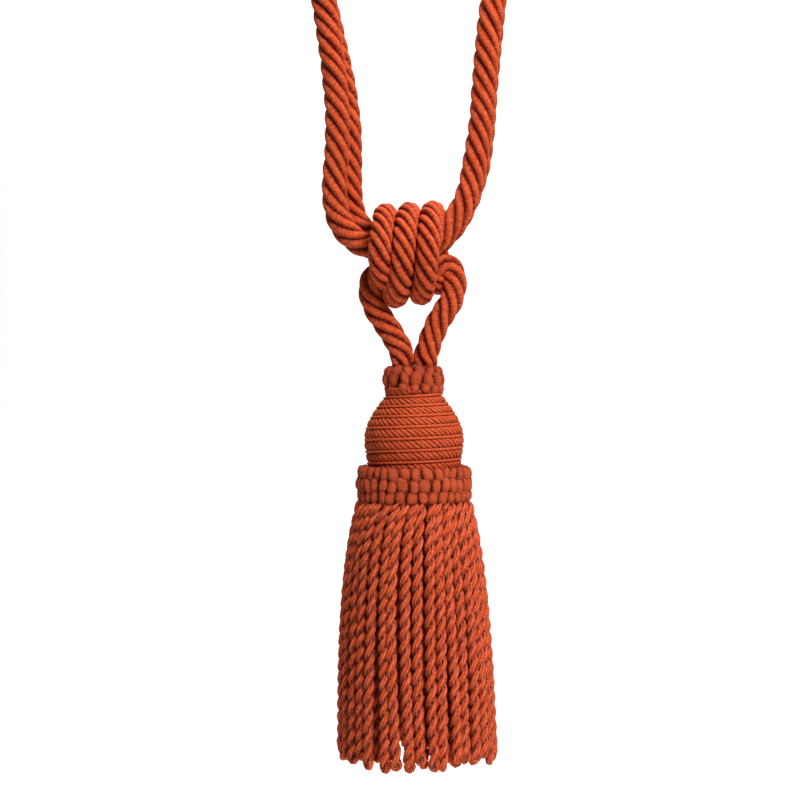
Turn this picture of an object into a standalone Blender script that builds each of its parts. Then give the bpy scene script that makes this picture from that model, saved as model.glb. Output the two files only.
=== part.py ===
"""Hanging rope curtain tieback with a knot and a bullion tassel.

Two doubled rope arms run up to an eye each. Where they meet, the rope is wound round them, and a loop of
the same rope hangs under the winding and carries the tassel: a neck ruff, a cord-wound head, a wide
knotted collar ruff and a skirt of bullion fringe.

The origin is the hanging point, between the two eyes and level with the inner top of each. +X is to the
right of someone facing the tieback, -Y is towards that person and +Z is up. Lengths are in millimetres
here and become metres when each mesh is made.
"""

from math import cos, exp, pi, radians, sin, tan

import bmesh
import bpy
from mathutils import Vector

MM = 0.001

# Rope: five strands laid S-wise round a core.
STRANDS = 5
ARM_ROPE_RADIUS = 5.7
LOOP_ROPE_RADIUS = 5.6
WRAP_ROPE_RADIUS = 5.05
VALLEY_SHARE = 0.8
ARM_LAY = 37.6
WRAP_LAY = 27.0
STEPS_PER_LAY = 8
LOOP_STEPS_PER_LAY = 12
PASS_OFFSET = 5.85
END_TAPER = 0.8
CURVE_PIECES = 12

# Winding: turns of rope round a level axis, a little higher on the right.
WRAP_CENTRE_X = -4.6
WRAP_CENTRE_Z = -214.5
WRAP_RADIUS = 18.15
WRAP_PITCH = 10.35
WRAP_START = -135.0
WRAP_END = 855.0
WRAP_MIDDLE = 450.0
WRAP_TILT = 3.3
WRAP_POINT_STEP = 15.0

# Tassel: levels below the hanging point, and radii.
NECK_TOP = -264.5
NECK_BOTTOM = -278.0
NECK_RADIUS = 12.7
NECK_EDGE = 0.3
NECK_LIP_DROP = 0.4
NECK_DISH_RADIUS = 11.8
NECK_DISH_TAPER = 0.2
NECK_DISH_FLOOR = -267.6
NECK_COLUMNS = 16
NECK_ROWS = 3
HEAD_TOP = -278.3
HEAD_BOTTOM = -308.2
HEAD_SEGMENTS = 28
HEAD_BANDS = 7
HEAD_BAND_PITCH = 4.6
HEAD_FIRST_BAND = -280.6
HEAD_CORD_RISE = 0.6
HEAD_BAND_HALF = 1.6
HEAD_CREST_HALF = 0.7
HEAD_TOP_RADIUS = 12.5
HEAD_SWELL = 9.4
HEAD_SWELL_SHARE = 0.64
HEAD_DRAW = 1.2
HEAD_DRAW_SHARE = 0.72
HEAD_CHAMFER = 1.5
COLLAR_TOP = -308.5
COLLAR_BOTTOM = -325.7
COLLAR_RADIUS = 24.9
COLLAR_EDGE = 1.8
COLLAR_COLUMNS = 34
COLLAR_ROWS = 3
KNOT_RISE = 1.7
KNOT_GAP_SHARE = 0.1
WALL_ROUNDING = 0.5

# Skirt: strands in rings that hang from one sewn band.
BAND_TOP = -326.0
BAND_THICKNESS = 2.6
SKIRT_BOTTOM = -441.0
SKIRT_CELLS = 36
SKIRT_RINGS = (
    # root radius, one strand in how many cells, spread at the hem, cells it drifts round
    (22.8, 1, 12.0, 0.0),
    (18.3, 2, 11.1, 0.5),
    (13.0, 3, 9.3, 0.0),
)
ROW_HALF_DEPTH = 1.8
ROOT_WIDTH = 3.3
STRAND_WIDTH = 4.7
SPREAD_LENGTH = 43.0
SWIRL = radians(7.0)
SWIRL_LENGTH = 12.0
HEM_SHIFT = 1.5
HEM_UNEVENNESS = 1.4
STRAND_LEVELS = (0.0, 12.0, 36.0, 76.0)
SCATTER_STEP = 2.399
SCATTER_START = 0.7

# Routes of the ropes, chosen by hand: each point is x, y, z on the rope's middle line.
LEFT_ARM_ROUTE = (
    (-4.0, -PASS_OFFSET, -211.1), (-12.0, -PASS_OFFSET, -211.1), (-19.5, -5.8, -211.0),
    (-25.0, -5.8, -208.5), (-29.5, -5.8, -204.0), (-32.8, -5.8, -199.0), (-35.0, -5.8, -192.5),
    (-35.5, -5.8, -182.0), (-34.3, -5.8, -168.5), (-34.0, -5.8, -153.0), (-35.0, -5.8, -137.5),
    (-37.0, -5.8, -119.5), (-40.0, -5.8, -101.5), (-44.0, -6.1, -83.0), (-50.5, -6.0, -64.0),
    (-60.0, -5.3, -46.0), (-70.0, -4.0, -29.0), (-74.5, -2.6, -14.0), (-71.0, -1.2, -1.5),
    (-62.5, -0.3, 5.0), (-53.5, 0.4, 5.4), (-44.5, 1.3, -0.5), (-39.8, 2.6, -13.5),
    (-41.5, 4.2, -31.0), (-45.2, 5.5, -49.0), (-45.8, 6.1, -66.0), (-43.8, 6.1, -83.0),
    (-40.5, 5.8, -98.5), (-36.5, 5.8, -116.5), (-32.5, 5.8, -134.5), (-29.7, 5.8, -153.0),
    (-29.0, 5.8, -168.5), (-29.0, 5.8, -182.5), (-28.5, 5.8, -190.5), (-26.5, 5.8, -197.5),
    (-22.8, 5.8, -203.5), (-17.5, 5.8, -208.5), (-12.0, PASS_OFFSET, -211.0),
    (-4.0, PASS_OFFSET, -211.1),
)
RIGHT_ARM_ROUTE = (
    (-3.4, -PASS_OFFSET, -211.1), (4.0, -PASS_OFFSET, -211.1), (9.4, -PASS_OFFSET, -210.2),
    (13.8, -5.8, -206.7), (17.9, -5.8, -201.4), (21.8, -5.8, -195.0), (24.5, -5.8, -187.5),
    (26.2, -5.8, -179.5), (28.5, -5.8, -166.0), (30.2, -5.8, -154.0), (31.2, -5.8, -139.5),
    (32.6, -5.8, -122.0), (35.0, -5.8, -101.5), (38.5, -6.1, -82.0), (43.5, -6.0, -64.0),
    (51.0, -5.3, -46.0), (60.5, -4.0, -29.0), (65.5, -2.6, -14.0), (62.5, -1.2, -1.5),
    (54.5, -0.3, 5.0), (45.5, 0.4, 5.4), (36.5, 1.3, -0.5), (31.4, 2.6, -13.5),
    (32.6, 4.2, -31.0), (36.5, 5.5, -49.0), (38.6, 6.1, -66.0), (38.2, 6.1, -82.0),
    (36.5, 5.8, -98.5), (34.3, 5.8, -120.0), (32.6, 5.8, -138.0), (31.4, 5.8, -155.5),
    (29.8, 5.8, -171.5), (27.4, 5.8, -181.0), (24.8, 5.8, -189.2), (22.1, 5.8, -196.4),
    (18.8, 5.8, -203.0), (14.5, 5.8, -208.0), (8.9, PASS_OFFSET, -210.6), (3.5, PASS_OFFSET, -211.1),
    (-3.4, PASS_OFFSET, -211.1),
)
LOOP_ROUTE = (
    (5.75, 0.0, -267.2), (5.8, 0.0, -260.5), (7.1, 0.0, -255.5), (8.7, 0.0, -250.0),
    (11.4, 0.0, -244.0), (14.2, 0.0, -239.7), (16.5, 0.0, -235.5), (17.8, 0.0, -231.2),
    (18.2, 0.0, -227.3), (17.9, 0.0, -224.1), (16.4, 0.0, -221.4), (13.4, 0.0, -220.0),
    (9.6, 0.0, -220.6), (5.5, 0.0, -221.3), (1.0, 0.0, -221.4), (-7.5, 0.0, -221.5),
    (-13.2, 0.0, -221.9), (-17.2, 0.0, -223.9), (-19.3, 0.0, -227.8), (-19.4, 0.0, -232.3),
    (-18.0, 0.0, -237.0), (-15.5, 0.0, -241.8), (-12.4, 0.0, -246.5), (-9.3, 0.0, -251.3),
    (-6.9, 0.0, -256.0), (-5.8, 0.0, -260.5), (-5.75, 0.0, -267.2),
)

# Finish.
ROPE_COLOUR = (0.62, 0.135, 0.043, 1.0)
RUFF_COLOUR = (0.44, 0.075, 0.028, 1.0)
YARN_ROUGHNESS = 0.75
SHARP_ANGLE = radians(50.0)


def clear_scene():
    for thing in list(bpy.data.objects):
        bpy.data.objects.remove(thing, do_unlink=True)


def yarn_material(name, colour):
    material = bpy.data.materials.new(name)
    material.use_nodes = True
    shader = material.node_tree.nodes["Principled BSDF"]
    shader.inputs["Base Color"].default_value = colour
    shader.inputs["Roughness"].default_value = YARN_ROUGHNESS
    shader.inputs["Metallic"].default_value = 0.0
    return material


def make_object(name, bm, material):
    """Turns a mesh drawn in millimetres into a named object in metres."""
    bmesh.ops.triangulate(bm, faces=[f for f in bm.faces if len(f.verts) > 4])
    bmesh.ops.recalc_face_normals(bm, faces=bm.faces)
    bmesh.ops.scale(bm, vec=(MM, MM, MM), verts=bm.verts)
    mesh = bpy.data.meshes.new(name)
    bm.to_mesh(mesh)
    bm.free()
    mesh.materials.append(material)
    mesh.shade_smooth()
    mesh.set_sharp_from_angle(angle=SHARP_ANGLE)
    made = bpy.data.objects.new(name, mesh)
    bpy.context.scene.collection.objects.link(made)
    return made


def curve_point(before, start, end, after, t):
    """A point on the smooth curve from start to end that heads from before towards after."""
    leave = (end - before) * 0.5
    arrive = (after - start) * 0.5
    return (
        start * (2 * t ** 3 - 3 * t ** 2 + 1)
        + leave * (t ** 3 - 2 * t ** 2 + t)
        + end * (3 * t ** 2 - 2 * t ** 3)
        + arrive * (t ** 3 - t ** 2)
    )


def smooth_path(route, step):
    """Points at even steps along the smooth curve through a route."""
    points = [Vector(p) for p in route]
    points.insert(0, points[0] * 2 - points[1])
    points.append(points[-1] * 2 - points[-2])
    dense = [points[1]]
    for before, start, end, after in zip(points, points[1:], points[2:], points[3:]):
        for piece in range(1, CURVE_PIECES + 1):
            dense.append(curve_point(before, start, end, after, piece / CURVE_PIECES))
    lengths = [0.0]
    for one, two in zip(dense, dense[1:]):
        lengths.append(lengths[-1] + (two - one).length)
    count = max(2, round(lengths[-1] / step))
    path = []
    place = 0
    for number in range(count + 1):
        wanted = lengths[-1] * number / count
        while place < len(dense) - 2 and lengths[place + 1] < wanted:
            place += 1
        share = (wanted - lengths[place]) / (lengths[place + 1] - lengths[place])
        path.append(dense[place].lerp(dense[place + 1], share))
    return path


def sections_along(path):
    """The direction and one side direction at each point, with no spin of their own."""
    last = len(path) - 1
    directions = []
    for place in range(len(path)):
        ahead = path[min(place + 1, last)]
        behind = path[max(place - 1, 0)]
        directions.append((ahead - behind).normalized())
    side = directions[0].orthogonal().normalized()
    sides = [side]
    for before, after in zip(directions, directions[1:]):
        side = before.rotation_difference(after) @ side
        side = (side - after * side.dot(after)).normalized()
        sides.append(side)
    return directions, sides


def rope(name, route, radius, lay, steps_per_lay, material):
    """A rope as one solid: a lobed section that turns S-wise along the route."""
    path = smooth_path(route, lay / steps_per_lay)
    directions, sides = sections_along(path)
    corners = 2 * STRANDS
    bm = bmesh.new()
    rings = []
    travelled = 0.0
    for place, middle in enumerate(path):
        if place:
            travelled += (middle - path[place - 1]).length
        across = directions[place].cross(sides[place])
        at_end = place in (0, len(path) - 1)
        ring = []
        for corner in range(corners):
            angle = 2 * pi * (corner / corners - travelled / lay)
            reach = radius if corner % 2 == 0 else radius * VALLEY_SHARE
            if at_end:
                reach *= END_TAPER
            ring.append(bm.verts.new(middle + (sides[place] * cos(angle) + across * sin(angle)) * reach))
        rings.append(ring)
    for ring, following in zip(rings, rings[1:]):
        bridge(bm, ring, following)
    bm.faces.new(rings[0][::-1])
    bm.faces.new(rings[-1])
    return make_object(name, bm, material)


def bridge(bm, ring, following):
    count = len(ring)
    for corner in range(count):
        nearby = (corner + 1) % count
        bm.faces.new((ring[corner], ring[nearby], following[nearby], following[corner]))


def winding_route():
    """The turns of rope round the arms, from low at the back on the right to low in front on the left."""
    route = []
    steps = round((WRAP_END - WRAP_START) / WRAP_POINT_STEP)
    for number in range(steps + 1):
        turned = WRAP_START + number * WRAP_POINT_STEP
        angle = radians(turned)
        along = -WRAP_PITCH * (turned - WRAP_MIDDLE) / 360.0
        route.append((
            WRAP_CENTRE_X + along,
            -WRAP_RADIUS * sin(angle),
            WRAP_CENTRE_Z + WRAP_RADIUS * cos(angle) + along * tan(radians(WRAP_TILT)),
        ))
    return route


def turned_ring(bm, radius, z, segments):
    ring = []
    for segment in range(segments):
        angle = 2 * pi * segment / segments
        ring.append(bm.verts.new((radius * cos(angle), radius * sin(angle), z)))
    return ring


def turned_solid(name, profile, segments, material):
    """A solid of revolution from a profile of radius and height pairs, top first."""
    bm = bmesh.new()
    rings = [turned_ring(bm, radius, z, segments) for radius, z in profile]
    for ring, following in zip(rings, rings[1:]):
        bridge(bm, ring, following)
    bm.faces.new(rings[0][::-1])
    bm.faces.new(rings[-1])
    return make_object(name, bm, material)


def head_radius(z):
    """The mould of the head: narrow under the neck, widest low down, drawn in at the collar."""
    depth = (HEAD_TOP - z) / (HEAD_TOP - HEAD_BOTTOM)
    swell = HEAD_SWELL * sin(min(depth / HEAD_SWELL_SHARE, 1.0) * pi / 2)
    draw = HEAD_DRAW * max(depth - HEAD_DRAW_SHARE, 0.0) / (1.0 - HEAD_DRAW_SHARE)
    return HEAD_TOP_RADIUS + swell - draw


def head(material):
    """The head with its thick cords raised as bands."""
    band_outline = (
        (HEAD_BAND_HALF, 0.0), (HEAD_CREST_HALF, HEAD_CORD_RISE),
        (-HEAD_CREST_HALF, HEAD_CORD_RISE), (-HEAD_BAND_HALF, 0.0),
    )
    profile = [(head_radius(HEAD_TOP) - HEAD_CHAMFER, HEAD_TOP)]
    for band in range(HEAD_BANDS):
        middle = HEAD_FIRST_BAND - band * HEAD_BAND_PITCH
        for offset, rise in band_outline:
            z = middle + offset
            if HEAD_BOTTOM < z < HEAD_TOP:
                profile.append((head_radius(z) + rise, z))
    profile.append((head_radius(HEAD_BOTTOM) - HEAD_CHAMFER, HEAD_BOTTOM))
    return turned_solid("head", profile, HEAD_SEGMENTS, material)


def ruff_rings(bm, radius, top, bottom, columns, rows, edge):
    """Rings of a ruff whose wall is raised into knots, columns round it and rows down it."""
    segments = 2 * columns
    levels = 2 * rows
    rings = []
    for level in range(levels + 1):
        share = level / levels
        tuck = edge * (1.0 - sin(pi * share) ** WALL_ROUNDING)
        z = top + (bottom - top) * share
        ring = []
        for segment in range(segments):
            row_shift = 0 if (level // 2) % 2 == 0 else 1
            raised = level % 2 == 1 and (segment + row_shift) % 2 == 0
            between = level % 2 == 1 and (segment + row_shift) % 2 == 1
            reach = radius - tuck
            if raised:
                reach += KNOT_RISE
            elif between:
                reach += KNOT_RISE * KNOT_GAP_SHARE
            angle = 2 * pi * segment / segments
            ring.append(bm.verts.new((reach * cos(angle), reach * sin(angle), z)))
        rings.append(ring)
    for ring, following in zip(rings, rings[1:]):
        bridge(bm, ring, following)
    return rings


def neck_ruff(material):
    """The small ruff, dished on top for the legs of the rope loop."""
    bm = bmesh.new()
    rings = ruff_rings(bm, NECK_RADIUS, NECK_TOP, NECK_BOTTOM, NECK_COLUMNS, NECK_ROWS, NECK_EDGE)
    segments = 2 * NECK_COLUMNS
    lip = turned_ring(bm, NECK_DISH_RADIUS, NECK_TOP - NECK_LIP_DROP, segments)
    floor = turned_ring(bm, NECK_DISH_RADIUS - NECK_DISH_TAPER, NECK_DISH_FLOOR, segments)
    bridge(bm, lip, rings[0])
    bridge(bm, floor, lip)
    bm.faces.new(floor[::-1])
    bm.faces.new(rings[-1])
    return make_object("neck_ruff", bm, material)


def collar_ruff(material):
    """The wide ruff under the head."""
    bm = bmesh.new()
    rings = ruff_rings(bm, COLLAR_RADIUS, COLLAR_TOP, COLLAR_BOTTOM, COLLAR_COLUMNS, COLLAR_ROWS, COLLAR_EDGE)
    bm.faces.new(rings[0][::-1])
    bm.faces.new(rings[-1])
    return make_object("collar_ruff", bm, material)


def unevenness(number):
    """A value between -1 and 1 that differs from strand to strand."""
    return sin(number * SCATTER_STEP + SCATTER_START)


def strand_centre(angle, root_radius, spread, drift, drop, length):
    """Where a strand's middle is, at a distance below its root."""
    radius = root_radius + spread * (1.0 - exp(-drop / SPREAD_LENGTH))
    turned = angle + (drift - SWIRL) * (1.0 - exp(-drop / SWIRL_LENGTH))
    shift = HEM_SHIFT * (drop / length) ** 2
    return radius, turned, shift


def grow_strand(bm, cell, angle, root_radius, spread, drift, number):
    """Grows a four-sided strand out of one cell of the band's underside."""
    z_root = BAND_TOP - BAND_THICKNESS
    length = z_root - SKIRT_BOTTOM - HEM_UNEVENNESS * (1.0 + unevenness(number))
    ring = list(cell.verts)
    bm.faces.remove(cell)
    root_direction = Vector((cos(angle), sin(angle)))
    corner_signs = []
    for corner in ring:
        place = corner.co.xy
        out_sign = 1 if place.length > root_radius else -1
        side_sign = 1 if root_direction.cross(place) > 0 else -1
        corner_signs.append((out_sign, side_sign))
    for level, drop in enumerate(STRAND_LEVELS + (length,)):
        width = ROOT_WIDTH if level == 0 else STRAND_WIDTH
        radius, turned, shift = strand_centre(angle, root_radius, spread, drift, drop, length)
        outward = Vector((cos(turned), sin(turned), 0.0))
        sideways = Vector((-sin(turned), cos(turned), 0.0))
        middle = outward * radius + Vector((shift, 0.0, z_root - drop))
        following = []
        for out_sign, side_sign in corner_signs:
            following.append(bm.verts.new(
                middle + outward * (out_sign * width / 2) + sideways * (side_sign * width / 2)
            ))
        bridge(bm, ring, following)
        ring = following
    bm.faces.new(ring)


def skirt(material):
    """The bullion fringe: rings of strands that stand apart below the band they are sewn to."""
    bm = bmesh.new()
    z_under = BAND_TOP - BAND_THICKNESS
    radii = []
    for root_radius, _, _, _ in SKIRT_RINGS:
        radii += [root_radius + ROW_HALF_DEPTH, root_radius - ROW_HALF_DEPTH]
    top = turned_ring(bm, radii[0], BAND_TOP, SKIRT_CELLS)
    under = [turned_ring(bm, radius, z_under, SKIRT_CELLS) for radius in radii]
    bridge(bm, top, under[0])
    cells = {}
    for row, (ring, following) in enumerate(zip(under, under[1:])):
        for cell in range(SKIRT_CELLS):
            nearby = (cell + 1) % SKIRT_CELLS
            face = bm.faces.new((ring[cell], ring[nearby], following[nearby], following[cell]))
            if row % 2 == 0:
                cells[row // 2, cell] = face
    bm.faces.new(top[::-1])
    bm.faces.new(under[-1])
    number = 0
    for row, (root_radius, every, spread, cells_round) in enumerate(SKIRT_RINGS):
        drift = 2 * pi * cells_round / SKIRT_CELLS
        for cell in range(row % 2, SKIRT_CELLS, every):
            number += 1
            angle = 2 * pi * (cell + 0.5) / SKIRT_CELLS
            grow_strand(bm, cells[row, cell], angle, root_radius, spread, drift, number)
    return make_object("skirt", bm, material)


def main():
    clear_scene()
    rope_yarn = yarn_material("rope_yarn", ROPE_COLOUR)
    ruff_yarn = yarn_material("ruff_yarn", RUFF_COLOUR)
    rope("embrace_left", LEFT_ARM_ROUTE, ARM_ROPE_RADIUS, ARM_LAY, STEPS_PER_LAY, rope_yarn)
    rope("embrace_right", RIGHT_ARM_ROUTE, ARM_ROPE_RADIUS, ARM_LAY, STEPS_PER_LAY, rope_yarn)
    rope("knot_wraps", winding_route(), WRAP_ROPE_RADIUS, WRAP_LAY, STEPS_PER_LAY, rope_yarn)
    rope("tassel_loop", LOOP_ROUTE, LOOP_ROPE_RADIUS, ARM_LAY, LOOP_STEPS_PER_LAY, rope_yarn)
    neck_ruff(ruff_yarn)
    head(rope_yarn)
    collar_ruff(ruff_yarn)
    skirt(rope_yarn)


main()
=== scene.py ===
"""The looks of a hanging rope curtain tieback: five-strand rope, a wrapped knot and a bullion tassel.

Lengths are in metres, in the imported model's frame: the origin is the hanging point, +X is to the right of
someone facing the tieback, -Y is towards that person and +Z is up.
"""

from math import cos, exp, pi, radians, sin, tan
from typing import NamedTuple

import bpy
import numpy as np
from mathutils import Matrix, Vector

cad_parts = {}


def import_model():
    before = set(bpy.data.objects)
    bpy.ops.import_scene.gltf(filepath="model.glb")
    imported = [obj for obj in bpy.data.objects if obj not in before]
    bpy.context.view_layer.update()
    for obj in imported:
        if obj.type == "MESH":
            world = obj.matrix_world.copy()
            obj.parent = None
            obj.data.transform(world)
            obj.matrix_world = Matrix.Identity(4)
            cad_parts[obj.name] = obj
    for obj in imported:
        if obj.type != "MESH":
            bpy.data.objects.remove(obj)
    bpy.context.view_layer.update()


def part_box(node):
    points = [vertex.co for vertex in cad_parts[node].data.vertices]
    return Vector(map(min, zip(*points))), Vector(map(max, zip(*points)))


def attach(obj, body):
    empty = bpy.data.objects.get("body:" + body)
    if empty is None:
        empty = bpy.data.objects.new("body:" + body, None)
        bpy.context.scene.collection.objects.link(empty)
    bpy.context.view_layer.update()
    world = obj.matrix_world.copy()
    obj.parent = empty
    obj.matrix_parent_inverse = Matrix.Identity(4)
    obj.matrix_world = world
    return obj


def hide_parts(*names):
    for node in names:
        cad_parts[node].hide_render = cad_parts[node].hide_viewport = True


MM = 0.001


class RuffForm(NamedTuple):
    """A ruff: how many knots, how far they stand out, and how even they are.

    gap is the share of a knot's width that is left free, uneven is how much their widths and heights differ,
    and stagger is how much of that difference in height each column keeps.
    """

    columns: int
    rows: int
    rise: float
    top_drop: float
    overlap: float
    gap: float
    uneven: float
    squareness: float
    stagger: float


class RingForm(NamedTuple):
    """A ring of bullion cords: root is its radius at the band and spread how much wider it hangs."""

    cords: int
    root: float
    spread: float
    swirl: float
    step: float
    sides: int


class YarnLook(NamedTuple):
    """The look of a yarn.

    thread_pitch and threads are the pitch of the threads and how many run round at once, and thread_share
    is how much they show. streak_length and streak_narrowness shape the uneven patches along a thread.
    light is the yarn's own colour. The colour is darkened towards a second colour over a range of the crest:
    this is painted shade where strands sink between their neighbours.
    """

    light: tuple
    painted_shade_colour: tuple
    thread_pitch: float
    threads: int
    thread_share: float
    streak_length: float
    streak_narrowness: float
    painted_shade_crests: tuple
    bump: float
    roughness: float


# The view: a square picture whose middle is level with the top of the tassel's head.
VIEW_CENTRE_X = -0.0063
VIEW_CENTRE_Z = -0.280
VIEW_DISTANCE = 0.65
VIEW_HEIGHT = 0.36
VIEW_CLIP = 0.01
SENSOR = 36.0

# Rope.
STRANDS = 5
ARM_LAY = 37.6 * MM
WRAP_LAY = 27.0 * MM
ARM_ROPE_RADIUS = 5.75 * MM
LOOP_ROPE_RADIUS = 5.65 * MM
WRAP_ROPE_RADIUS = 5.3 * MM
ROPE_STEP = 1.1 * MM
STRAND_SIDES = 12
STRAND_DEPTH_SHARE = 0.362
STRAND_CROWDING = 1.0
STRAND_WANDER = 0.06
STRAND_WANDER_LENGTH = 17.0 * MM
STRAND_SWELL = 0.03
STRAND_SWELL_LENGTH = 9.0 * MM
CORE_SHARE = 0.5
CORE_SIDES = 6
END_ROUNDING = 4
POINTS_PER_ROUTE_STEP = 12
PASS_OFFSET = 5.85

# The winding of the knot.
WRAP_CENTRE_X = -4.6
WRAP_CENTRE_Z = -214.5
WRAP_RADIUS = 18.15
WRAP_PITCH = 10.6
WRAP_START = -205.0
WRAP_END = 885.0
WRAP_MIDDLE = 450.0
WRAP_TILT = 3.3
WRAP_POINT_STEP = 15.0

# Where each end of the winding tucks in: the turn over which it does so, how deep it goes, how far it
# shifts along and the share of its thickness that it loses.
START_TUCK = (90.0, 10.0, -7.0, 0.3)
END_TUCK = (75.0, 6.0, 7.0, 0.25)
TUCK_POWER = 1.7

# Where the middle turn bulges over the last one: the angle, over how much of a turn, how far it shifts
# along and the share by which it is thicker.
BULGE = (522.0, 44.0, -1.25, 0.17)

# The rope's routes: each point is x, y, z in millimetres. They follow those of the solids' own source
# closely but not exactly, because their points were moved a little to fit the photograph.
LEFT_ARM_ROUTE = (
    (-4.0, -PASS_OFFSET, -211.1), (-12.0, -PASS_OFFSET, -211.3), (-19.9, -5.8, -211.5),
    (-26.0, -5.8, -209.0), (-30.6, -5.8, -204.4), (-33.5, -5.8, -199.2), (-35.2, -5.8, -192.5),
    (-35.5, -5.8, -182.0), (-34.4, -5.8, -168.5), (-34.2, -5.8, -153.0), (-35.4, -5.8, -137.5),
    (-37.7, -5.8, -119.5), (-40.4, -5.8, -101.5), (-44.0, -6.1, -83.0), (-50.5, -6.0, -64.0),
    (-60.0, -5.3, -46.0), (-70.0, -4.0, -29.0), (-74.5, -2.6, -14.0), (-71.0, -1.2, -1.5),
    (-62.5, -0.3, 5.0), (-53.5, 0.4, 5.4), (-44.5, 1.3, -0.5), (-39.8, 2.6, -13.5),
    (-41.5, 4.2, -31.0), (-45.2, 5.5, -49.0), (-45.8, 6.1, -66.0), (-43.8, 6.1, -83.0),
    (-40.5, 5.8, -98.5), (-36.5, 5.8, -116.5), (-32.5, 5.8, -134.5), (-29.7, 5.8, -153.0),
    (-29.0, 5.8, -168.5), (-29.0, 5.8, -182.5), (-28.5, 5.8, -190.5), (-26.5, 5.8, -197.5),
    (-22.8, 5.8, -203.5), (-17.5, 5.8, -208.5), (-12.0, PASS_OFFSET, -211.0),
    (-4.0, PASS_OFFSET, -211.1),
)
RIGHT_ARM_ROUTE = (
    (-3.4, -PASS_OFFSET, -211.1), (4.0, -PASS_OFFSET, -211.1), (9.2, -PASS_OFFSET, -209.4),
    (13.2, -5.8, -205.4), (17.2, -5.8, -200.4), (21.4, -5.8, -194.4), (24.4, -5.8, -187.3),
    (26.2, -5.8, -179.5), (28.5, -5.8, -166.0), (30.2, -5.8, -154.0), (31.2, -5.8, -139.5),
    (32.6, -5.8, -122.0), (35.0, -5.8, -101.5), (38.5, -6.1, -82.0), (43.5, -6.0, -64.0),
    (51.0, -5.3, -46.0), (60.5, -4.0, -29.0), (65.5, -2.6, -14.0), (62.5, -1.2, -1.5),
    (54.5, -0.3, 5.0), (45.5, 0.4, 5.4), (36.5, 1.3, -0.5), (31.4, 2.6, -13.5),
    (32.6, 4.2, -31.0), (36.5, 5.5, -49.0), (38.6, 6.1, -66.0), (38.2, 6.1, -82.0),
    (36.5, 5.8, -98.5), (34.3, 5.8, -120.0), (32.6, 5.8, -138.0), (31.4, 5.8, -155.5),
    (29.6, 5.8, -171.5), (27.1, 5.8, -181.0), (24.4, 5.8, -188.9), (21.3, 5.8, -195.8),
    (17.4, 5.8, -201.8), (13.2, 5.8, -206.4), (8.9, PASS_OFFSET, -209.8), (3.5, PASS_OFFSET, -211.1),
    (-3.4, PASS_OFFSET, -211.1),
)
LOOP_ROUTE = (
    (5.2, 0.0, -267.2), (5.25, 0.0, -260.5), (6.8, 0.0, -255.5), (8.7, 0.0, -250.0),
    (11.4, 0.0, -244.0), (14.2, 0.0, -239.7), (16.5, 0.0, -235.5), (17.8, 0.0, -231.2),
    (18.2, 0.0, -227.3), (17.9, 0.0, -224.0), (16.4, 0.0, -220.9), (13.4, 0.0, -219.4),
    (9.6, 0.0, -220.2), (5.5, 0.0, -221.3), (1.0, 0.0, -221.4), (-7.5, 0.0, -221.5),
    (-13.2, 0.0, -221.9), (-17.2, 0.0, -223.9), (-19.3, 0.0, -227.8), (-19.4, 0.0, -232.3),
    (-18.0, 0.0, -237.0), (-15.5, 0.0, -241.8), (-12.4, 0.0, -246.5), (-9.3, 0.0, -251.3),
    (-6.7, 0.0, -256.0), (-5.25, 0.0, -260.5), (-5.2, 0.0, -267.2),
)

# The tassel's head, wound with a thick cord and a thin thread.
HEAD_CORD_RADIUS = 2.12 * MM
HEAD_CORD_PLIES = 4
HEAD_CORD_LAY = 10.2 * MM
HEAD_CORD_RISE = 0.6 * MM
HEAD_THREAD_RADIUS = 0.66 * MM
HEAD_THREAD_RISE = 0.65 * MM
HEAD_THREAD_TONE = 0.95
HEAD_WIND_PITCH = 5.25 * MM
HEAD_WIND_SIDES = 8
HEAD_CORD_STEP = 0.75 * MM
HEAD_PROFILE_POINTS = 400
HEAD_POINTS_PER_TURN = 90
HEAD_CORD_FLATNESS = 0.55
HEAD_CORD_START = 0.0 * MM
HEAD_THREAD_START = -2.6 * MM
HEAD_TURNS = (-0.5, 7.0)
HEAD_HIDDEN_TOP = 3.0 * MM
HEAD_HIDDEN_BOTTOM = 2.5 * MM
MOULD_DEPTH = 0.9 * MM
MOULD_LEVELS = 40
MOULD_SIDES = 64
HEAD_TOP_RADIUS = 12.5 * MM
HEAD_SWELL = 9.4 * MM
HEAD_SWELL_SHARE = 0.64
HEAD_DRAW = 1.2 * MM
HEAD_DRAW_SHARE = 0.72

# The ruffs.
NECK_RUFF = RuffForm(
    columns=14, rows=3, rise=3.2 * MM, top_drop=0.0, overlap=1.8 * MM, gap=0.07, uneven=0.2,
    squareness=2.1, stagger=1.0,
)
COLLAR_RUFF = RuffForm(
    columns=34, rows=3, rise=2.3 * MM, top_drop=1.0 * MM, overlap=0.6 * MM, gap=0.05, uneven=0.24,
    squareness=2.6, stagger=0.7,
)
RUFF_LEAN = 0.2
RUFF_END_WANDER = 3.0 * MM
RUFF_EDGE_TUCK = 0.5 * MM
RUFF_DRUM_DEPTH = 1.15
RUFF_DRUM_TOP_DROP = 0.3 * MM
RUFF_DRUM_BOTTOM_REACH = 0.5 * MM
DRUM_SIDES = 48
KNOT_SECTIONS = 11
KNOT_SIDES = 18
KNOT_THREAD = 0.85 * MM
KNOT_SLANTS = (-4, 5)
KNOT_RISES = (0.78, 1.02)
KNOT_LEANS = (-0.3, 0.4)
KNOT_SLUMP = 0.25
KNOT_PUFF = 0.3
KNOT_PINCH = 0.2
KNOT_SAG = 0.2

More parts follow.
